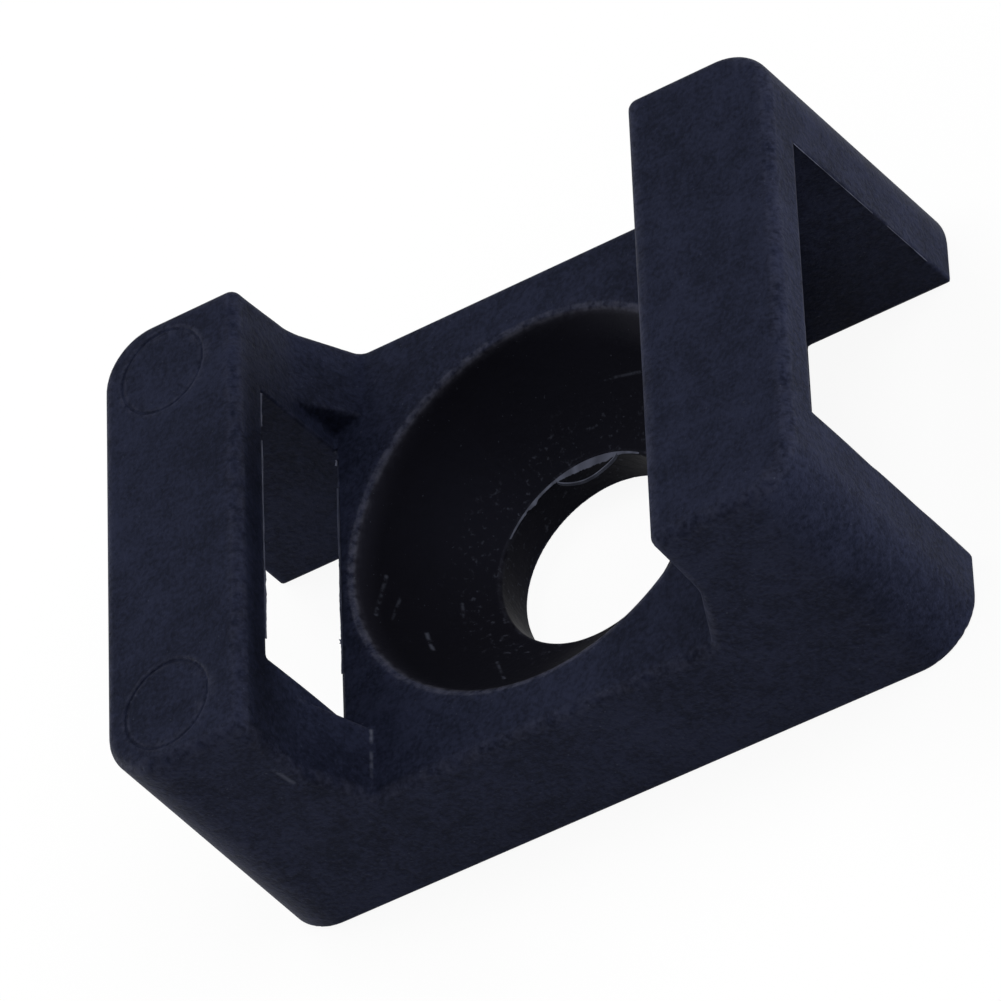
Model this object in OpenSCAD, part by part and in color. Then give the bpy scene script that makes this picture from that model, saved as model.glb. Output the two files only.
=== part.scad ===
// Saddle cable tie mount, moulded in one piece.
// The tie runs in at one end, under a bar, over the platform and out under the other bar.
// A screw through the dished platform holds the mount down.
// Frame: X along the length, Y across, Z up. The origin is the centre of the underside.

/* [Foot] */
// Length of the foot, end to end
foot_len = 23; // [21.5:0.1:27]
// Width of the foot, side to side
foot_w = 16; // [15.2:0.1:20]
// Height from the underside to the top of the uprights
height = 9; // [8:0.1:11]
// Plan radius of the four upright corners, at the foot
corner_r = 1.9; // [1.4:0.1:2.2]
// Lean of the outer walls, in degrees, for release from the mould
wall_draft = 1.2; // [0.5:0.1:2]
// Rounding of the uprights' top edges
edge_r = 0.35; // [0.15:0.05:0.4]

/* [Saddle] */
// Clear length between the uprights, at their tops
saddle_len = 13.3; // [13.2:0.1:14.6]
// Lean of the upright's inner face, in degrees
saddle_draft = 1; // [0.5:0.1:2]
// Height of the platform
platform_h = 4.25; // [3.6:0.05:4.6]
// Length of the platform between the feet of the ramps
platform_len = 11.2; // [10:0.1:11.6]
// Height at which the ramps run into the uprights
ramp_top_h = 6.35; // [5.4:0.05:6.6]
// Clear width between the two ribs that carry the ramps
rib_gap = 11.1; // [10.6:0.1:11.4]
// Rounding along the saddle's two long edges
saddle_r = 0.25; // [0.15:0.05:0.35]

/* [Tie slots] */
// Thickness of the bar over each slot
bar_t = 1.2; // [1:0.1:1.6]
// Width of each slot under its bar
slot_w = 9.4; // [8:0.1:10]
// Lean of the slot's side walls, in degrees
slot_draft = 1; // [0.5:0.1:1.5]
// Lean of the platform's end faces, in degrees
end_draft = 2.5; // [1:0.1:3]

/* [Screw seat] */
// Diameter of the screw hole
hole_d = 6.1; // [4:0.1:6.5]
// Thickness of the floor that the screw clamps
floor_t = 1.35; // [1:0.05:1.8]
// Diameter of the dish at the platform
dish_d = 12.3; // [11:0.1:12.4]
// Rounding of the dish's rim
rim_r = 0.3; // [0.1:0.05:0.35]

/* [Ejector marks] */
// Diameter of the two round marks on one upright
mark_d = 2.8; // [2:0.1:3]
// Depth of the marks
mark_depth = 0.05; // [0.02:0.01:0.1]
// Distance of the marks from the screw hole, along the mount
mark_x = 9.2; // [8.8:0.1:9.4]
// Distance of each mark from the centre line
mark_y = 5.9; // [4:0.1:6]

/* [Hidden] */
$fn = 96;

// Cuts run this far past the faces that they open
over = 1;
// A rounding along a leaning wall stands this far above each face that it joins
lap = 0.006;

// Inner face of an upright: half the clear length at a height z
function saddle_x(z) = saddle_len / 2 - (height - z) * tan(saddle_draft);
// End face of the platform: distance from the centre at a height z
function plate_end_x(z) = saddle_x(platform_h) + (platform_h - z) * tan(end_draft);
// Side wall of a slot: half the width at a height z
function slot_y(z) = slot_w / 2 + (slot_h - z) * tan(slot_draft);

slot_h = height - bar_t;
platform_x = platform_len / 2;
ramp_top_x = saddle_x(ramp_top_h);
ramp_angle = atan2(ramp_top_h - platform_h, ramp_top_x - platform_x);
wall_angle = 90 - saddle_draft;

// The dish is part of a sphere that passes through the platform's rim and the hole's rim
dish_rise = ((dish_d / 2) ^ 2 - (hole_d / 2) ^ 2 + (platform_h - floor_t) ^ 2)
    / (2 * (platform_h - floor_t));
dish_centre_h = floor_t + dish_rise;
dish_r = sqrt((hole_d / 2) ^ 2 + dish_rise ^ 2);
// Centre of the rim's rounding, outside the sphere and under the platform's face
rim_centre_h = platform_h - rim_r;
rim_centre_x = sqrt((dish_r + rim_r) ^ 2 - (dish_centre_h - rim_centre_h) ^ 2);

// Corner between two lines of the saddle's outline, moved into the material by a distance d
// The lines rise at the angles a and b
function inset(corner, a, b, d) =
    corner + d / cos((b - a) / 2) * [sin((a + b) / 2), -cos((a + b) / 2)];

// Half section of the outside: a leaning wall with a rounded top edge
module wall_section(half)
{
    centre_z = height - edge_r;
    centre_x = half - centre_z * tan(wall_draft) - edge_r / cos(wall_draft);
    polygon([
        [0, 0],
        [half, 0],
        [centre_x + edge_r * cos(wall_draft), centre_z + edge_r * sin(wall_draft)],
        [centre_x, height],
        [0, height]
    ]);
    translate([centre_x, centre_z]) circle(r = edge_r);
}

// A full wall section drawn out along Y, centred
module wall_block(half, depth)
{
    rotate([90, 0, 0])
        linear_extrude(height = depth, center = true) {
            wall_section(half);
            mirror([1, 0]) wall_section(half);
        }
}

// The outside of the moulding, before anything is cut: leaning walls and round corners
module outside()
{
    post_x = foot_len / 2 - corner_r;
    post_y = foot_w / 2 - corner_r;
    wall_block(foot_len / 2, 2 * post_y);
    rotate([0, 0, 90]) wall_block(foot_w / 2, 2 * post_x);
    for (x = [-post_x, post_x], y = [-post_y, post_y])
        translate([x, y, 0]) rotate_extrude() intersection() {
            wall_section(corner_r);
            square([corner_r, height]);
        }
}

// Half of the side outline, from the platform up a ramp and over an upright
module side_outline()
{
    centre_z = height - edge_r;
    centre_x = saddle_x(centre_z) + edge_r / cos(saddle_draft);
    polygon([
        [0, -over],
        [foot_len, -over],
        [foot_len, height],
        [centre_x, height],
        [centre_x - edge_r * cos(saddle_draft), centre_z + edge_r * sin(saddle_draft)],
        [ramp_top_x, ramp_top_h],
        [platform_x, platform_h],
        [0, platform_h]
    ]);
    translate([centre_x, centre_z]) circle(r = edge_r);
}

// A half outline in XZ, mirrored to both ends and drawn out along Y
module along_y(depth)
{
    rotate([90, 0, 0])
        linear_extrude(height = depth, center = true) {
            children();
            mirror([1, 0]) children();
        }
}

// Between the ribs the platform runs on to the upright's inner face
module rib_well()
{
    along_y(rib_gap) polygon([
        [0, platform_h],
        [saddle_x(platform_h), platform_h],
        [saddle_x(height + over), height + over],
        [0, height + over]
    ]);
}

// The tie's way under each bar, open to the end, to the saddle and to the underside
module tie_slots()
{
    intersection() {
        along_y(foot_w) polygon([
            [plate_end_x(-over), -over],
            [saddle_x(platform_h), platform_h],
            [platform_x, platform_h],
            [platform_x, slot_h],
            [foot_len, slot_h],
            [foot_len, -over]
        ]);
        rotate([90, 0, 90])
            linear_extrude(height = 2 * foot_len, center = true) polygon([
                [-slot_y(-over), -over],
                [slot_y(-over), -over],
                [slot_y(height), height],
                [-slot_y(height), height]
            ]);
    }
}

// Dish and hole for the screw, with a rounded rim
module screw_seat()
{
    rotate_extrude() difference() {
        union() {
            intersection() {
                translate([0, dish_centre_h]) circle(r = dish_r);
                translate([0, floor_t]) square([dish_d, platform_h - floor_t]);
            }
            polygon([
                [0, platform_h + over],
                [0, platform_h - rim_r],
                [rim_centre_x * dish_r / (dish_r + rim_r), platform_h - rim_r],
                [rim_centre_x, platform_h],
                [rim_centre_x, platform_h + over]
            ]);
        }
        translate([rim_centre_x, rim_centre_h]) circle(r = rim_r);
    }
    translate([0, 0, -over]) cylinder(d = hole_d, h = floor_t + 2 * over);
}

// Rounds the saddle's edge along one leaning side wall
// It is what lies outside the inset outline and outside a round bar along each stretch of it
module side_rounding()
{
    depth = saddle_r - lap;
    top = 2 * height;
    foot = inset([platform_x, platform_h], 0, ramp_angle, depth);
    knee = inset([ramp_top_x, ramp_top_h], ramp_angle, wall_angle, depth);
    head = knee + (top - knee[1]) * [tan(saddle_draft), 1];
    translate([0, foot_w / 2, 0]) rotate([wall_draft, 0, 0]) difference() {
        translate([-foot_len / 2, -depth, platform_h / 2])
            cube([foot_len, depth + over, height]);
        along_y(4 * saddle_r + 2 * over) polygon([
            [0, 0],
            [foot_len, 0],
            [foot_len, top],
            head,
            knee,
            foot,
            [0, foot[1]]
        ]);
        translate([0, -depth, foot[1]]) rotate([0, 90, 0])
            cylinder(r = saddle_r, h = 2 * foot[0], center = true);
        for (side = [0, 1]) mirror([side, 0, 0]) {
            translate([foot[0], -depth, foot[1]]) rotate([0, 90 - ramp_angle, 0])
                cylinder(r = saddle_r, h = norm(knee - foot));
            translate([knee[0], -depth, knee[1]]) rotate([0, 90 - wall_angle, 0])
                cylinder(r = saddle_r, h = norm(head - knee));
        }
    }
}

// Two shallow round marks on the top of one upright
module ejector_marks()
{
    for (y = [-mark_y, mark_y])
        translate([-mark_x, y, height - mark_depth]) cylinder(d = mark_d, h = over);
}

// The whole mount
module mount()
{
    color([0.07, 0.075, 0.1]) difference() {
        intersection() {
            outside();
            along_y(2 * foot_w) side_outline();
        }
        rib_well();
        tie_slots();
        screw_seat();
        side_rounding();
        mirror([0, 1, 0]) side_rounding();
        ejector_marks();
    }
}

mount();
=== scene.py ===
"""Looks of the saddle cable tie mount: one black nylon moulding on a white table."""

from math import cos, radians, sin, tan

import bmesh
import bpy
import numpy as np
from mathutils import Matrix, Vector


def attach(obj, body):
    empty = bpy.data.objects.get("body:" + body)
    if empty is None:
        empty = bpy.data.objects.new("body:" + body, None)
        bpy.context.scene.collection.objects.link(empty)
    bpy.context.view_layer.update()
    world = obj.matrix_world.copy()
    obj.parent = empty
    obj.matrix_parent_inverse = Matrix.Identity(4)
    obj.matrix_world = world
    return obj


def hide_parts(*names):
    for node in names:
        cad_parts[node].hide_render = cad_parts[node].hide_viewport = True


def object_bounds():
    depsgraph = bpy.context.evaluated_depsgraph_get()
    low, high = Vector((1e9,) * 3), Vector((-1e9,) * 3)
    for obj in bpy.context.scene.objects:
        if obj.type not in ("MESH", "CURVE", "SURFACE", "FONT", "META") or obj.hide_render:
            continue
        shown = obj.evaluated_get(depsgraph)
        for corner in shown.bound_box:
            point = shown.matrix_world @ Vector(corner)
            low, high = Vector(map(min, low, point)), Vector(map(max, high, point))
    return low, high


MM = 0.001

# Sizes of the moulding in millimetres and degrees, as in the CAD source
FOOT_LEN = 23.0
FOOT_W = 16.0
HEIGHT = 9.0
CORNER_R = 1.9
WALL_DRAFT = 1.2
EDGE_R = 0.35
SADDLE_LEN = 13.3
SADDLE_DRAFT = 1.0
PLATFORM_H = 4.25
PLATFORM_LEN = 11.2
RAMP_TOP_H = 6.35
RIB_GAP = 11.1
SADDLE_R = 0.25
SLOT_H = 7.8
SLOT_W = 9.4
SLOT_DRAFT = 1.0
END_DRAFT = 2.5
HOLE_D = 6.1
FLOOR_T = 1.35
DISH_D = 12.3
MARK_D = 2.8
MARK_X = 9.2
MARK_Y = 5.9

# Small forms that differ from the CAD source, or that it leaves out
RIM_R = 0.2
RIB_LEAN = 16.0  # degrees by which the ribs' inner faces close in on the slot
FOOT_EDGE_R = 0.1
KNEE_R = 0.12
BEND_R = 0.08
RIB_EDGE_R = 0.08
SLOT_EDGE_R = 0.06
HOLE_EDGE_R = 0.08
MARK_SUNK = 0.02
MARK_GROOVE = 0.04
MARK_GROOVE_W = 0.05
# Between these heights above the platform the dish's cut is taken back by this depth
DISH_CAP = (0.3, 0.6)
DISH_CAP_DEPTH = 2.0

# Mesh: grid lines, finer where edges run, as a start and then the end and spacing of each stretch
GRID_X = (
    (0,), (2.0, 0.3), (3.3, 0.16), (5.3, 0.28),
    (7.0, 0.12), (9.6, 0.3), (10.9, 0.18), (11.6, 0.1),
)
GRID_Y = (
    (0,), (2.0, 0.3), (3.3, 0.16), (4.5, 0.26), (5.0, 0.1),
    (5.4, 0.15), (5.8, 0.1), (7.3, 0.25), (8.1, 0.1),
)
GRID_Z = (
    (-0.1,), (0.3, 0.08), (1.2, 0.25), (1.6, 0.08), (4.0, 0.26), (4.6, 0.08),
    (6.1, 0.18), (6.7, 0.1), (7.6, 0.25), (8.0, 0.08), (8.5, 0.17), (9.1, 0.07),
)
# Mesh: how near the hole's rims, and the marks' rings in each round, the edges are split
HOLE_REACH = 0.25
RIM_REACH = (0.3, 0.2)  # from the upper and from the lower rim, in height
MARK_REACHES = (0.3, 0.16, 0.12)
TOP_REACH = 0.2  # below the top
# Mesh: the step over which a slope is taken, the least slope that is reckoned with, and the rounds
# in which points move onto the surface
SLOPE_STEP = 0.002
LEAST_SLOPE = 0.5
SETTLE_ROUNDS = 6

# Wear and painted highlight on convex edges: the step over which curvature is taken, the curvature
# of a fully worn edge, and how far the colour goes to the worn, highlighted one on edges, and to
# painted highlight on the dish's rim
EDGE_STEP = 0.05
EDGE_SPREAD = 4.0
EDGE_WEAR_HIGHLIGHT = 0.13
RIM_HIGHLIGHT = 0.4
RIM_HIGHLIGHT_LINE = (0.16, 0.06)  # distances from the rim's middle at which its painted highlight starts and is full

# Surroundings, in metres; a lamp is name, azimuth, elevation, width, height and power
LAMP_DISTANCE = 0.6
LAMPS = (
    ("right_strip", 4, 1.8, 0.2, 0.04, 3.4),
    ("key", 135, 50, 0.45, 0.45, 2.3),
    ("front_fill", 225, 20, 0.45, 0.45, 1.0),
    ("top_light", 8, 62, 0.45, 0.45, 2.1),
    ("left_strip", 180, 3, 0.5, 0.1, 3.5),
)
WORLD_STRENGTH = 0.12
TABLE_HALF = 2.0
TABLE_GAP = 0.02 * MM
TABLE_GLOW = 0.92
TABLE_COLOR = (0.9, 0.9, 0.9, 1)
WHITE = (1, 1, 1, 1)

# Nylon: linear colours of its darker and lighter grain, of the dish in painted shade, of worn edges
# with painted highlight and of thin flash
NYLON_DARK = (0.0050, 0.0062, 0.0128, 1)
NYLON_LIGHT = (0.0132, 0.0158, 0.0322, 1)
NYLON_DISH_SHADE = (0.0052, 0.0051, 0.0072, 1)
NYLON_WORN_HIGHLIGHT = (0.078, 0.080, 0.108, 1)
NYLON_PALE = (0.085, 0.092, 0.125, 1)
NYLON_TINT = (0.51, 0.59, 1.0, 1)
NYLON_SPECULAR = 0.03
NYLON_ROUGH = 0.55
ROUGH_SPREAD = 0.12
DISH_ROUGH = 0.52
WORN_SMOOTHER = 0.2
DISH_SHADE_SHARE = 0.95
DISH_GRAIN = 0.25
MOTTLE_HEIGHT = 0.8
GRAIN_HEIGHT = 0.03
SPECK_SHARE = 0.25
# Where the dish's finish and its painted shade set in: out from its rim, down from the platform, up
# from the underside
DISH_FADE = 0.1
DISH_DOWN = (0.04, 0.12)
DISH_UP = (0.05, 0.15)

# Nylon's noises: cells to a millimetre, detail and roughness
GRAIN_NOISE = (7.0, 3.0, 0.65)
MOTTLE_NOISE = (1.7, 3.0, 0.55)
CLOUD_NOISE = (0.33, 2.0, 0.55)
WEAR_HIGHLIGHT_NOISE = (3.5, 4.0, 0.55)
SCUFF_AND_HIGHLIGHT_NOISE = (4.0, 3.0, 0.55)
SPECK_NOISE = (11.0, 1.0, 0.55)
DUST_NOISE = (6.0, 2.0, 0.55)
# The noise values between which each pattern sets in
SHADE_RANGE = (0.36, 0.64)
WEAR_HIGHLIGHT_RANGE = (0.25, 0.75)
SCUFF_AND_HIGHLIGHT_RANGE = (0.35, 0.6)
SPECK_RANGE = (0.74, 0.8)
DUST_RANGE = (0.58, 0.78)
DUST_REACH = (4.7, 3.7)  # distances from the hole's axis at which the dust starts and is full

# Scuffs and painted highlights: start and end in millimetres, width, strength
SCUFFS_AND_HIGHLIGHTS = (
    # Painted highlight on the rounded edge beside the left knee
    ((-7.10, -7.86, 6.84), (-7.02, -7.88, 6.10), 0.12, 0.35),
    # Painted highlight line along the left ramp's foot
    ((-5.62, -5.65, 4.28), (-5.67, -7.60, 4.28), 0.10, 0.80),
    # Scratches in the dish
    ((-5.55, 0.30, 3.39), (-5.72, -1.20, 3.72), 0.10, 0.45),
    ((-5.30, -0.40, 3.09), (-5.45, -1.30, 3.34), 0.08, 0.30),
    ((-4.70, -1.70, 2.73), (-4.45, -2.45, 2.81), 0.10, 0.55),
    ((-2.80, -3.20, 2.08), (-2.20, -4.40, 2.66), 0.08, 0.35),
    ((-4.00, -0.50, 1.92), (-3.90, -1.30, 1.97), 0.08, 0.30),
    ((1.50, 4.55, 2.53), (2.80, 4.10, 2.69), 0.07, 0.35),
)

# Flash: how deep a fin is rooted, how much thinner its tip is, and the range of its paleness
FIN_ROOT = 0.06
FIN_TAPER = 0.5
FIN_SHADES = (0.45, 1)
SHADE_SEED = 21
# Uneven widths: knots of their longer waves, and the least and most of them
WAVE_KNOTS = 9
WAVE_RANGE = (0.05, 2)
# The fin on the hole's rim: its width by angle round the hole, and the loose thread beside it
HOLE_FIN_TURNS = (150, 134, 132.5, 131, 127, 124, 112, 106, 98, 84, 76, 71, 66, 55)
HOLE_FIN_WIDTHS = (0.02, 0.06, 0.0, 0.1, 0.16, 0.07, 0.07, 0.16, 0.26, 0.3, 0.26, 0.12, 0.05, 0.01)
HOLE_PALENESS = 1.0
HOLE_FIN_RINGS = 96
HOLE_FIN_SEED = 3
HOLE_FIN_ROUGH = 0.15
HOLE_FIN_T = 0.03
HOLE_FIN_LIFT = 0.01
HOLE_FIN_RISE = 0.15
THREAD_TURNS = (110, 70)
THREAD_RINGS = 40
THREAD_SAG = 0.62
THREAD_BOW = 0.6
THREAD_GAP = 0.02
THREAD_HEIGHT = 0.03
THREAD_W = 0.08
# Fins on straight edges are this thick and this rough
EDGE_FIN_T = 0.02
EDGE_FIN_ROUGH = 0.35
# Flash along Y at the saddle's left end: name, paleness, height, direction, and its fins as start,
# end, width, seed and number of rings
FLASH_ALONG_Y = (
    ("flash_bar", 0.8, SLOT_H, (0.5, 0, -0.8), (
        (4.6, 3.4, 0.02, 5, 20),
        (2.9, -1.8, 0.012, 7, 50),
        (-1.6, -4.1, 0.03, 8, 30),
    )),
    ("flash_plate", 0.4, PLATFORM_H, (-0.8, 0, 0.4), (
        (3.4, -3.2, 0.012, 11, 70),
    )),
    ("flash_beads", 1.0, PLATFORM_H, (-0.5, 0, 0.8), (
        (4.4, 4.2, 0.035, 12, 5),
        (-2.0, -2.15, 0.035, 13, 5),
    )),
)
# Flash down the far edge of the right end's window: paleness, direction, and its fins as start and
# end with Y from the slot's side wall, width, seed and number of rings
END_PALENESS = 0.8
END_TOWARD = (0.3, -0.9, 0)
END_FINS = (
    ((11.3, 0, SLOT_H), (11.38, 0.07, 3.9), 0.02, 15, 50),
    ((11.4, 0.08, 3.2), (11.44, 0.11, 1.2), 0.02, 16, 30),
)

# Camera: a long lens, high over the right front corner, rolled so that the width stands upright
VIEW_AZIMUTH = radians(34.885)
VIEW_ELEVATION = radians(41.104)
VIEW_ROLL = radians(48.992)
VIEW_DISTANCE = 267.06 * MM
VIEW_LENS = 341.89
VIEW_AIM = (-1.968 * MM, 1.658 * MM, -1.651 * MM)  # from the middle of the mount's box
VIEW_CLIP = (10 * MM, 10)


# ---------------------------------------------------------------- the moulding's form


def meet(a, b, radius):
    """Both of two solids, given by their signed distances, with the edge between them rounded."""
    outer = np.hypot(np.maximum(a + radius, 0), np.maximum(b + radius, 0))
    return outer + np.minimum(np.maximum(a, b), -radius)


def join(a, b, radius):
    """Either of two solids, given by their signed distances, with the corner between them filled."""
    return -meet(-a, -b, radius)


def blend(low, high, value):
    """Goes smoothly from 0 at low to 1 at high."""
    t = np.clip((value - low) / (high - low), 0, 1)
    return t * t * (3 - 2 * t)


def outside(ax, ay, z):
    """Leaning walls with round corners."""
    out_x = ax - FOOT_LEN / 2 + CORNER_R
    out_y = ay - FOOT_W / 2 + CORNER_R
    round_corner = np.hypot(np.maximum(out_x, 0), np.maximum(out_y, 0))
    plan = round_corner + np.minimum(np.maximum(out_x, out_y), 0)
    lean = radians(WALL_DRAFT)
    return (plan - CORNER_R + z * tan(lean)) * cos(lean)


def saddle_x(z):
    """Half the clear length between the uprights."""
    return SADDLE_LEN / 2 - (HEIGHT - z) * tan(radians(SADDLE_DRAFT))


def saddle(ax, ay, z):
    """Solid under the saddle: the platform, the ramps on their ribs and the uprights."""
    platform = z - PLATFORM_H
    upright = (saddle_x(z) - ax) * cos(radians(SADDLE_DRAFT))
    foot_x = PLATFORM_LEN / 2
    rise = RAMP_TOP_H - PLATFORM_H
    run = saddle_x(RAMP_TOP_H) - foot_x
    slope = np.hypot(rise, run)
    ramp = ((z - PLATFORM_H) * run - (ax - foot_x) * rise) / slope
    lean = radians(RIB_LEAN)
    inner = (RIB_GAP / 2 - ay - np.maximum(ax - foot_x, 0) * tan(lean)) * cos(lean)
    rib = meet(ramp, inner, RIB_EDGE_R)
    return join(join(platform, rib, KNEE_R), upright, BEND_R)


def slots(ax, ay, z):
    """Distance into the tie's way under each bar."""
    half = SLOT_W / 2 + (SLOT_H - z) * tan(radians(SLOT_DRAFT))
    plate_end = saddle_x(PLATFORM_H) + (PLATFORM_H - z) * tan(radians(END_DRAFT))
    past_end = (ax - plate_end) * cos(radians(END_DRAFT))
    return np.minimum(np.minimum(SLOT_H - z, half - ay), past_end)


def screw_seat(x, y, z):
    """Distances into the dish and into the screw hole."""
    depth = PLATFORM_H - FLOOR_T
    rise = ((DISH_D / 2) ** 2 - (HOLE_D / 2) ** 2 + depth ** 2) / (2 * depth)
    radius = np.hypot(HOLE_D / 2, rise)
    out = np.hypot(x, y)
    dish = radius - np.hypot(out, np.minimum(z, PLATFORM_H) - FLOOR_T - rise)
    cap = DISH_CAP_DEPTH * blend(PLATFORM_H + DISH_CAP[0], PLATFORM_H + DISH_CAP[1], z)
    return dish - cap, HOLE_D / 2 - out


def mark_depth(x, ay):
    """How far the ejectors' round marks, with a fine groove around each, go into the top."""
    out = np.hypot(x + MARK_X, ay - MARK_Y) - MARK_D / 2
    groove = np.exp(-(out / MARK_GROOVE_W) ** 2)
    return MARK_SUNK * blend(MARK_GROOVE_W, -MARK_GROOVE_W, out) + MARK_GROOVE * groove


def plain_moulding(p, sunk=0):
    """Signed distance to the surface in millimetres, negative inside, for a top sunk by a depth."""
    x, y, z = p[:, 0], p[:, 1], p[:, 2]
    ax, ay = np.abs(x), np.abs(y)
    top = meet(z - HEIGHT + sunk, saddle(ax, ay, z), EDGE_R)
    side_r = SADDLE_R + (EDGE_R - SADDLE_R) * blend(RAMP_TOP_H, HEIGHT - EDGE_R, z)
    body = meet(outside(ax, ay, z), top, side_r)
    body = meet(body, -z, FOOT_EDGE_R)
    body = meet(body, slots(ax, ay, z), SLOT_EDGE_R)
    dish, hole = screw_seat(x, y, z)
    return meet(meet(body, dish, RIM_R), hole, HOLE_EDGE_R)


def moulding(p):
    """Signed distance to the moulding with its ejector marks."""
    return plain_moulding(p, mark_depth(p[:, 0], np.abs(p[:, 1])))


# ---------------------------------------------------------------- from the form to a mesh


def grid_line(stretches):
    """Grid positions along one axis: each stretch runs to an end at a spacing."""
    line = [stretches[0][0]]
    for end, spacing in stretches[1:]:
        count = max(1, round((end - line[-1]) / spacing))
        line += list(np.linspace(line[-1], end, count + 1)[1:])
    return np.array(line)


def mirrored(line):
    """A half line from 0, and its mirror image."""
    return np.concatenate([-line[:0:-1], line])


def crossings(lines, grid, value, inside, axis):
    """Where the grid's edges along an axis cross the surface: which edges, and their points."""
    low = [slice(None)] * 3
    high = [slice(None)] * 3
    low[axis], high[axis] = slice(None, -1), slice(1, None)
    a, b = value[tuple(low)], value[tuple(high)]
    change = inside[tuple(low)] != inside[tuple(high)]
    t = np.where(change, a / np.where(change, a - b, 1), 0)
    point = np.stack([g[tuple(low)] for g in grid], -1)
    shape = [1, 1, 1]
    shape[axis] = -1
    point[..., axis] += t * np.diff(lines[axis]).reshape(shape)
    return change, point


def quads_across(index, change, low_inside, axis):
    """The faces across the grid's edges along an axis, each between the four cells at its edge."""
    u, v = [k for k in range(3) if k != axis]
    where = np.argwhere(change)
    inner = (where[:, u] > 0) & (where[:, v] > 0)
    inner &= (where[:, u] < index.shape[u]) & (where[:, v] < index.shape[v])
    where = where[inner]
    corners = []
    for du, dv in ((-1, -1), (0, -1), (0, 0), (-1, 0)):
        cell = where.copy()
        cell[:, u] += du
        cell[:, v] += dv
        corners.append(index[tuple(cell.T)])
    quads = np.stack(corners, 1)
    flip = low_inside[tuple(where.T)] == (axis == 1)
    quads[flip] = quads[flip][:, ::-1]
    return quads


def net(lines, field):
    """A mesh of quads close to the zero surface of a field on a grid: points and faces."""
    grid = np.meshgrid(*lines, indexing="ij")
    value = field(np.stack([g.ravel() for g in grid], 1)).reshape(grid[0].shape)
    inside = value < 0
    cells = tuple(n - 1 for n in value.shape)
    total = np.zeros(cells + (3,))
    hits = np.zeros(cells)
    changes = []
    for axis in range(3):
        change, point = crossings(lines, grid, value, inside, axis)
        changes.append(change)
        u, v = [k for k in range(3) if k != axis]
        for du in (0, 1):
            for dv in (0, 1):
                part = [slice(None)] * 3
                part[u] = slice(du, du + cells[u])
                part[v] = slice(dv, dv + cells[v])
                seen = change[tuple(part)]
                total += np.where(seen[..., None], point[tuple(part)], 0)
                hits += seen
    active = hits > 0
    index = np.full(cells, -1)
    index[active] = np.arange(active.sum())
    points = total[active] / hits[active][:, None]
    faces = [quads_across(index, change, inside, axis) for axis, change in enumerate(changes)]
    return points, np.concatenate(faces)


def slope_of(field, points):
    """Gradient of a field at points."""
    parts = []
    for axis in range(3):
        shift = np.zeros(3)
        shift[axis] = SLOPE_STEP
        parts.append((field(points + shift) - field(points - shift)) / (2 * SLOPE_STEP))
    return np.stack(parts, 1)


def settle(points, field):
    """Moves points onto the zero surface of a field."""
    for _ in range(SETTLE_ROUNDS):
        slope = slope_of(field, points)
        length = np.maximum((slope ** 2).sum(1), LEAST_SLOPE ** 2)
        points = points - slope * (field(points) / length)[:, None]
    return points


def refined(mesh, near):
    """Splits the edges whose two points are near a feature."""
    shape = bmesh.new()
    shape.from_mesh(mesh)
    shape.verts.ensure_lookup_table()
    close = near(np.array([v.co for v in shape.verts]) / MM)
    edges = [e for e in shape.edges if close[e.verts[0].index] and close[e.verts[1].index]]
    bmesh.ops.subdivide_edges(shape, edges=edges, cuts=1, use_grid_fill=True)
    shape.to_mesh(mesh)
    shape.free()


def near_hole(points):
    """Points near the rims of the screw hole."""
    rim = np.abs(np.hypot(points[:, 0], points[:, 1]) - HOLE_D / 2) < HOLE_REACH
    return rim & ((np.abs(points[:, 2] - FLOOR_T) < RIM_REACH[0]) | (points[:, 2] < RIM_REACH[1]))


def near_marks(reach):
    """Points on the top within a reach of the ejector marks' rings."""

    def near(points):
        out = np.hypot(points[:, 0] + MARK_X, np.abs(points[:, 1]) - MARK_Y) - MARK_D / 2
        return (np.abs(out) < reach) & (points[:, 2] > HEIGHT - TOP_REACH)

    return near


def edge_wear_highlight(points):
    """Wear and painted highlight at points on the surface: none on flat and hollow places, more on
    sharper edges.
    """
    steps = np.eye(3) * EDGE_STEP
    spread = sum(moulding(points + step) + moulding(points - step) for step in steps)
    return np.clip(spread / EDGE_STEP ** 2 / EDGE_SPREAD, 0, 1) * EDGE_WEAR_HIGHLIGHT


def moulding_mesh():
    """The moulding as a smooth mesh, in metres."""
    lines = (mirrored(grid_line(GRID_X)), mirrored(grid_line(GRID_Y)), grid_line(GRID_Z))
    points, faces = net(lines, plain_moulding)
    points = settle(points, plain_moulding)
    mesh = bpy.data.meshes.new("mount_moulding")
    mesh.from_pydata((points * MM).tolist(), [], faces.tolist())
    refined(mesh, near_hole)
    for reach in MARK_REACHES:
        refined(mesh, near_marks(reach))
    points = np.empty(len(mesh.vertices) * 3)
    mesh.vertices.foreach_get("co", points)
    points = settle(points.reshape(-1, 3) / MM, moulding)
    mesh.vertices.foreach_set("co", (points * MM).ravel())
    mesh.polygons.foreach_set("use_smooth", [True] * len(mesh.polygons))
    mesh.update()
    # The edge attribute holds wear and painted highlight on convex edges, per point
    mesh.attributes.new("edge", "FLOAT", "POINT").data.foreach_set("value", edge_wear_highlight(points))
    normals = slope_of(moulding, points)
    normals /= np.linalg.norm(normals, axis=1)[:, None]
    mesh.normals_split_custom_set_from_vertices(normals.tolist())
    return mesh


# ---------------------------------------------------------------- shader nodes


def add_node(tree, kind, inputs=(), **settings):
    """A shader node with its settings, and its inputs as (name or number, value or socket)."""
    made = tree.nodes.new(kind)
    for key, value in settings.items():
        setattr(made, key, value)
    for key, value in inputs:
        if isinstance(value, bpy.types.NodeSocket):
            tree.links.new(value, made.inputs[key])
        else:
            made.inputs[key].default_value = value
    return made


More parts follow.
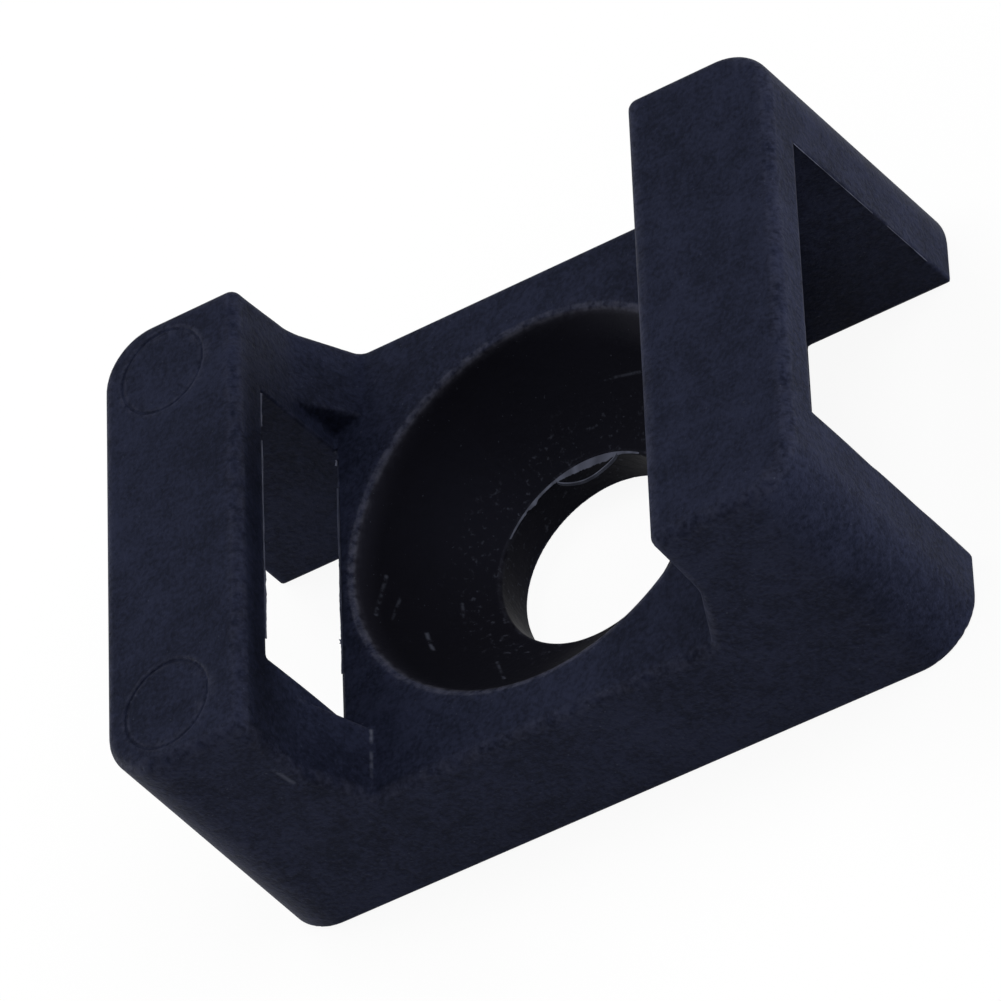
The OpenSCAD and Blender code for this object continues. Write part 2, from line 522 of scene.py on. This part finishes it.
def math_node(tree, operation, a, b=0.0):
    """One sum of two values or sockets."""
    return add_node(tree, "ShaderNodeMath", ((0, a), (1, b)), operation=operation).outputs[0]


def times(tree, a, b):
    """Two values or sockets multiplied."""
    return math_node(tree, "MULTIPLY", a, b)


def larger(tree, a, b):
    """The larger of two values or sockets."""
    return math_node(tree, "MAXIMUM", a, b)


def average(tree, a, b):
    """The mean of two values or sockets."""
    return math_node(tree, "ADD", times(tree, a, 0.5), times(tree, b, 0.5))


def vector_node(tree, operation, *inputs):
    """The outputs of one sum of vectors: the vector and the value."""
    return add_node(tree, "ShaderNodeVectorMath", inputs, operation=operation).outputs


def ramp_node(tree, value, low, high, to_low=0.0, to_high=1.0):
    """A value taken smoothly from one range to another."""
    ends = (("From Min", low), ("From Max", high), ("To Min", to_low), ("To Max", to_high))
    inputs = (("Value", value),) + ends
    made = add_node(tree, "ShaderNodeMapRange", inputs, interpolation_type="SMOOTHSTEP")
    return made.outputs["Result"]


def noise_node(tree, place, scale, detail, roughness):
    """Noise with so many cells to a millimetre, about 0 to 1."""
    inputs = (("Vector", place), ("Scale", scale), ("Detail", detail), ("Roughness", roughness))
    return add_node(tree, "ShaderNodeTexNoise", inputs).outputs["Fac"]


def mix_node(tree, factor, a, b):
    """Two colours mixed."""
    made = add_node(tree, "ShaderNodeMix", ((0, factor), (6, a), (7, b)), data_type="RGBA")
    return made.outputs[2]


def attribute_node(tree, name):
    """The value of a mesh attribute."""
    return add_node(tree, "ShaderNodeAttribute", attribute_name=name).outputs["Fac"]


def streak_node(tree, place, start, end, width):
    """1 on the line between two points in millimetres, falling to 0 at a width from it."""
    start, end = Vector(start), Vector(end)
    along = (end - start).normalized()
    offset = vector_node(tree, "SUBTRACT", (0, place), (1, start))[0]
    reach = vector_node(tree, "DOT_PRODUCT", (0, offset), (1, along))[1]
    reach = math_node(tree, "MINIMUM", larger(tree, reach, 0.0), (end - start).length)
    foot = vector_node(tree, "SCALE", (0, along), ("Scale", reach))[0]
    gap = vector_node(tree, "DISTANCE", (0, offset), (1, foot))[1]
    return ramp_node(tree, gap, width, 0.0)


# ---------------------------------------------------------------- black nylon


def hole_distance(tree, place):
    """Distance from the screw hole's axis."""
    flat = vector_node(tree, "MULTIPLY", (0, place), (1, (1, 1, 0)))[0]
    return vector_node(tree, "LENGTH", (0, flat))[1]


def height_above_foot(tree, place):
    """Height above the underside."""
    return add_node(tree, "ShaderNodeSeparateXYZ", ((0, place),)).outputs[2]


def in_dish(tree, place):
    """1 on the faces of the dish and the hole, 0 elsewhere."""
    height = height_above_foot(tree, place)
    ring = ramp_node(tree, hole_distance(tree, place), DISH_D / 2 + DISH_FADE, DISH_D / 2)
    below_platform = ramp_node(tree, height, PLATFORM_H - DISH_DOWN[0], PLATFORM_H - DISH_DOWN[1])
    above_underside = ramp_node(tree, height, *DISH_UP)
    return times(tree, ring, times(tree, below_platform, above_underside))


def rim_highlight(tree, place):
    """Painted highlight along the dish's rim, 0 elsewhere."""
    off = math_node(tree, "SUBTRACT", hole_distance(tree, place), DISH_D / 2 + RIM_R / 4)
    line = ramp_node(tree, math_node(tree, "ABSOLUTE", off), *RIM_HIGHLIGHT_LINE)
    height = height_above_foot(tree, place)
    above = ramp_node(tree, height, PLATFORM_H - 2 * RIM_R, PLATFORM_H - RIM_R)
    return times(tree, times(tree, line, above), RIM_HIGHLIGHT)


def scuffs_and_highlights(tree, place):
    """Light scratches in the dish, a painted highlight beside the left knee and a painted highlight
    line at its ramp's foot.
    """
    total = 0.0
    for start, end, width, strength in SCUFFS_AND_HIGHLIGHTS:
        line = times(tree, streak_node(tree, place, start, end, width), strength)
        total = larger(tree, line, total)
    broken = ramp_node(tree, noise_node(tree, place, *SCUFF_AND_HIGHLIGHT_NOISE), *SCUFF_AND_HIGHLIGHT_RANGE)
    return times(tree, total, broken)


def specks(tree, place):
    """Light specks everywhere, and dust around the hole."""
    fine = ramp_node(tree, noise_node(tree, place, *SPECK_NOISE), *SPECK_RANGE)
    near = ramp_node(tree, hole_distance(tree, place), *DUST_REACH)
    dust = ramp_node(tree, noise_node(tree, place, *DUST_NOISE), *DUST_RANGE)
    return times(tree, larger(tree, fine, times(tree, dust, near)), SPECK_SHARE)


def nylon_color(tree, place, shade, dish, wear_highlight):
    """Mottled blue-black, darker and more neutral in the dish as painted shade, lighter on edges
    from wear and painted highlight, pale on flash, scuffs and painted highlight streaks.
    """
    color = mix_node(tree, ramp_node(tree, shade, *SHADE_RANGE), NYLON_DARK, NYLON_LIGHT)
    # Painted shade: the dish's hollow is drawn darker and more neutral than the rest of the nylon
    color = mix_node(tree, times(tree, dish, DISH_SHADE_SHARE), color, NYLON_DISH_SHADE)
    # Lighter convex edges: partly wear, partly painted highlight
    color = mix_node(tree, wear_highlight, color, NYLON_WORN_HIGHLIGHT)
    marks = larger(tree, scuffs_and_highlights(tree, place), specks(tree, place))
    return mix_node(tree, larger(tree, marks, attribute_node(tree, "pale")), color, NYLON_PALE)


def nylon_roughness(tree, shade, dish, wear_highlight):
    """Uneven roughness, a little less in the dish and on worn edges."""
    rough = math_node(tree, "ADD", NYLON_ROUGH - ROUGH_SPREAD / 2, times(tree, shade, ROUGH_SPREAD))
    rough = math_node(tree, "SUBTRACT", rough, times(tree, dish, NYLON_ROUGH - DISH_ROUGH))
    return math_node(tree, "SUBTRACT", rough, times(tree, wear_highlight, WORN_SMOOTHER))


def nylon_bump(tree, grain, mottle, dish):
    """Spark-eroded grain, weaker in the dish, on a faint unevenness."""
    height = times(tree, grain, ramp_node(tree, dish, 0.0, 1.0, 1.0, DISH_GRAIN))
    height = math_node(tree, "ADD", height, times(tree, mottle, MOTTLE_HEIGHT))
    bump = (("Height", height), ("Distance", GRAIN_HEIGHT * MM), ("Strength", 1.0))
    return add_node(tree, "ShaderNodeBump", bump).outputs[0]


def black_nylon():
    """Blue-black moulded nylon."""
    material = bpy.data.materials.new("mount_nylon")
    material.use_nodes = True
    tree = material.node_tree
    shader = tree.nodes["Principled BSDF"]
    coordinates = tree.nodes.new("ShaderNodeTexCoord").outputs["Object"]
    place = vector_node(tree, "SCALE", ("Scale", 1 / MM), (0, coordinates))[0]
    dish = in_dish(tree, place)
    grain = noise_node(tree, place, *GRAIN_NOISE)
    mottle = noise_node(tree, place, *MOTTLE_NOISE)
    shade = average(tree, mottle, noise_node(tree, place, *CLOUD_NOISE))
    shade = average(tree, grain, shade)
    # Edges: wear and painted highlight, together with the rim's painted highlight
    edge = larger(tree, attribute_node(tree, "edge"), rim_highlight(tree, place))
    wear_highlight = times(tree, edge, ramp_node(tree, noise_node(tree, place, *WEAR_HIGHLIGHT_NOISE), *WEAR_HIGHLIGHT_RANGE))

    tree.links.new(nylon_color(tree, place, shade, dish, wear_highlight), shader.inputs["Base Color"])
    tree.links.new(nylon_roughness(tree, shade, dish, wear_highlight), shader.inputs["Roughness"])
    tree.links.new(nylon_bump(tree, grain, mottle, dish), shader.inputs["Normal"])
    shader.inputs["Specular IOR Level"].default_value = NYLON_SPECULAR
    shader.inputs["Specular Tint"].default_value = NYLON_TINT
    return material


# ---------------------------------------------------------------- flash, thin fins left by the mould


def fin(path, toward, widths, thickness):
    """A thin closed fin along a path, rooted in the moulding: points and faces, in millimetres."""
    path = np.array(path, float)
    toward = np.broadcast_to(toward, path.shape) / np.linalg.norm(toward, axis=-1, keepdims=True)
    along = np.gradient(path, axis=0)
    side = np.cross(along, toward)
    side *= thickness / 2 / np.linalg.norm(side, axis=1)[:, None]
    root = path - toward * FIN_ROOT
    tip = path + toward * np.array(widths)[:, None]
    tip_side = side * FIN_TAPER
    points = np.stack([root - side, root + side, tip + tip_side, tip - tip_side], 1).reshape(-1, 3)
    faces = [(3, 2, 1, 0)]
    for k in range(len(path) - 1):
        for c in range(4):
            faces.append((4 * k + c, 4 * k + (c + 1) % 4, 4 * k + 4 + (c + 1) % 4, 4 * k + 4 + c))
    last = 4 * len(path) - 4
    faces.append((last, last + 1, last + 2, last + 3))
    return points, faces


def ragged(count, seed, rough=0.6):
    """Uneven factors around 1 that change from point to point and in longer waves."""
    random = np.random.default_rng(seed)
    knots = np.linspace(0, count - 1, WAVE_KNOTS)
    waves = np.interp(np.arange(count), knots, random.uniform(0, 2, WAVE_KNOTS))
    return np.clip(waves * (1 - rough) + random.uniform(0, 2, count) * rough, *WAVE_RANGE)


def hole_fin():
    """The torn fin on the screw hole's upper rim."""
    turns = np.radians(np.linspace(HOLE_FIN_TURNS[0], HOLE_FIN_TURNS[-1], HOLE_FIN_RINGS))
    ring = np.stack([np.cos(turns), np.sin(turns), np.zeros_like(turns)], 1)
    rim = ring * (HOLE_D / 2 + HOLE_FIN_LIFT) + (0, 0, FLOOR_T + HOLE_FIN_LIFT)
    widths = np.interp(-turns, -np.radians(HOLE_FIN_TURNS), HOLE_FIN_WIDTHS)
    widths *= 1 - HOLE_FIN_ROUGH + HOLE_FIN_ROUGH * ragged(HOLE_FIN_RINGS, HOLE_FIN_SEED)
    return fin(rim, -ring + (0, 0, HOLE_FIN_RISE), widths, HOLE_FIN_T)


def loose_thread():
    """A thread torn from the hole's fin, held at both ends and sagging towards the hole's middle."""
    turns = np.radians(np.linspace(*THREAD_TURNS, THREAD_RINGS))
    sag = THREAD_SAG * np.sin(np.linspace(0, np.pi, THREAD_RINGS)) ** THREAD_BOW
    radius = HOLE_D / 2 - THREAD_GAP - sag
    height = np.full(THREAD_RINGS, FLOOR_T + THREAD_GAP)
    path = np.stack([radius * np.cos(turns), radius * np.sin(turns), height], 1)
    return fin(path, (0, 0, 1), np.full(THREAD_RINGS, THREAD_HEIGHT), THREAD_W)


def edge_fin(start, end, toward, width, seed, count):
    """A ragged fin along a straight edge."""
    widths = width * ragged(count, seed, EDGE_FIN_ROUGH)
    return fin(np.linspace(start, end, count), toward, widths, EDGE_FIN_T)


def fins_along_y(height, toward, stretches):
    """Ragged fins across the mount, at a height on the saddle's left end."""
    x = -saddle_x(height)
    return [
        edge_fin((x, start, height), (x, end, height), toward, width, seed, count)
        for start, end, width, seed, count in stretches
    ]


def end_fins():
    """Ragged fins down the far edge of the right end's window."""
    wall = np.array((0, SLOT_W / 2, 0))
    return [
        edge_fin(wall + start, wall + end, END_TOWARD, width, seed, count)
        for start, end, width, seed, count in END_FINS
    ]


def add_piece(name, mesh, material):
    """A piece of the moulding."""
    piece = bpy.data.objects.new(name, mesh)
    piece.data.materials.append(material)
    bpy.context.scene.collection.objects.link(piece)
    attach(piece, "root")
    return piece


def add_flash(name, material, paleness, parts):
    """One piece of pale flash made of fins."""
    points, faces = [], []
    for part_points, part_faces in parts:
        faces += [tuple(len(points) + k for k in face) for face in part_faces]
        points += list(part_points * MM)
    mesh = bpy.data.meshes.new(name)
    mesh.from_pydata([tuple(p) for p in points], [], faces)
    shape = bmesh.new()
    shape.from_mesh(mesh)
    bmesh.ops.recalc_face_normals(shape, faces=shape.faces)
    shape.to_mesh(mesh)
    shape.free()
    rings = len(points) // 4
    knots = np.linspace(0, rings - 1, 2 + rings // 3)
    knot_shades = np.random.default_rng(SHADE_SEED).uniform(*FIN_SHADES, len(knots))
    shades = np.interp(np.arange(rings), knots, knot_shades)
    pale = mesh.attributes.new("pale", "FLOAT", "POINT")
    pale.data.foreach_set("value", np.repeat(paleness * shades, 4))
    add_piece(name, mesh, material)


def add_all_flash(material):
    """Flash at the hole, the left bar, the platform's left end and the right end's window."""
    add_flash("flash_hole", material, HOLE_PALENESS, [hole_fin(), loose_thread()])
    for name, paleness, height, toward, stretches in FLASH_ALONG_Y:
        add_flash(name, material, paleness, fins_along_y(height, toward, stretches))
    add_flash("flash_end", material, END_PALENESS, end_fins())


# ---------------------------------------------------------------- table, lamps and camera


def white_table():
    """White to the camera and in reflections, pale to the light, and open when seen from below."""
    material = bpy.data.materials.new("white_table")
    material.use_nodes = True
    tree = material.node_tree
    tree.nodes.clear()
    path = tree.nodes.new("ShaderNodeLightPath")
    seen = larger(tree, path.outputs["Is Camera Ray"], path.outputs["Is Glossy Ray"])
    seen = larger(tree, seen, path.outputs["Is Transmission Ray"])
    paint = add_node(tree, "ShaderNodeBsdfDiffuse", (("Color", TABLE_COLOR),)).outputs[0]
    glow = add_node(tree, "ShaderNodeEmission", (("Color", WHITE), ("Strength", 1.0))).outputs[0]
    top = (0, times(tree, seen, TABLE_GLOW)), (1, paint), (2, glow)
    top = add_node(tree, "ShaderNodeMixShader", top).outputs[0]
    below = tree.nodes.new("ShaderNodeNewGeometry").outputs["Backfacing"]
    clear = tree.nodes.new("ShaderNodeBsdfTransparent").outputs[0]
    table = add_node(tree, "ShaderNodeMixShader", ((0, below), (1, top), (2, clear))).outputs[0]
    add_node(tree, "ShaderNodeOutputMaterial", (("Surface", table),))
    return material


def add_table():
    """A plain table under the mount."""
    mesh = bpy.data.meshes.new("table")
    corners = [(x * TABLE_HALF, y * TABLE_HALF, 0) for x, y in ((-1, -1), (1, -1), (1, 1), (-1, 1))]
    mesh.from_pydata(corners, [], [(0, 1, 2, 3)])
    table = bpy.data.objects.new("table", mesh)
    table.location.z = -TABLE_GAP
    table.data.materials.append(white_table())
    bpy.context.scene.collection.objects.link(table)


def set_world():
    """Weak even surroundings."""
    world = bpy.data.worlds.new("studio")
    bpy.context.scene.world = world
    world.use_nodes = True
    background = world.node_tree.nodes["Background"]
    background.inputs["Color"].default_value = WHITE
    background.inputs["Strength"].default_value = WORLD_STRENGTH


def add_lamp(name, azimuth, elevation, width, height, power):
    """A soft lamp that faces the mount from a direction given in degrees."""
    turn, rise = radians(azimuth), radians(elevation)
    direction = Vector((cos(turn) * cos(rise), sin(turn) * cos(rise), sin(rise)))
    lamp = bpy.data.objects.new(name, bpy.data.lights.new(name, "AREA"))
    lamp.data.shape = "RECTANGLE"
    lamp.data.size = width
    lamp.data.size_y = height
    lamp.data.energy = power
    lamp.location = direction * LAMP_DISTANCE
    lamp.rotation_euler = direction.to_track_quat("Z", "Y").to_euler()
    bpy.context.scene.collection.objects.link(lamp)


def middle(box):
    """Centre of a box given by its lowest and highest corners."""
    return (Vector(box[0]) + Vector(box[1])) / 2


def add_camera(box):
    """The camera looks from the front right, down at the mount."""
    back = Vector((
        sin(VIEW_AZIMUTH) * cos(VIEW_ELEVATION),
        -cos(VIEW_AZIMUTH) * cos(VIEW_ELEVATION),
        sin(VIEW_ELEVATION),
    ))
    right = Vector((cos(VIEW_AZIMUTH), sin(VIEW_AZIMUTH), 0))
    up = back.cross(right)
    turned_right = right * cos(VIEW_ROLL) - up * sin(VIEW_ROLL)
    turned_up = up * cos(VIEW_ROLL) + right * sin(VIEW_ROLL)
    camera = bpy.data.objects.new("camera", bpy.data.cameras.new("camera"))
    camera.data.lens = VIEW_LENS
    camera.data.clip_start, camera.data.clip_end = VIEW_CLIP
    place = Matrix((turned_right, turned_up, back)).transposed().to_4x4()
    place.translation = middle(box) + Vector(VIEW_AIM) + back * VIEW_DISTANCE
    camera.matrix_world = place
    bpy.context.scene.collection.objects.link(camera)
    bpy.context.scene.camera = camera


# ---------------------------------------------------------------- the scene


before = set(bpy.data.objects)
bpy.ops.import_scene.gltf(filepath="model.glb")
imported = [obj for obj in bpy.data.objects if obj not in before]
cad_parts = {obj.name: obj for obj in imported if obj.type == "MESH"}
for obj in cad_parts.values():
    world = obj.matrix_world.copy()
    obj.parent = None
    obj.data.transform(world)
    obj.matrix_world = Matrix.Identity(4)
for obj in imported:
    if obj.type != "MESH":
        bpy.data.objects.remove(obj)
cad_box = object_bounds()
bpy.context.scene.view_settings.view_transform = "Standard"
add_camera(cad_box)
add_table()
set_world()
for lamp in LAMPS:
    add_lamp(*lamp)
nylon = black_nylon()
body = add_piece("mount_moulding", moulding_mesh(), nylon)
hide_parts("mount")
add_all_flash(nylon)
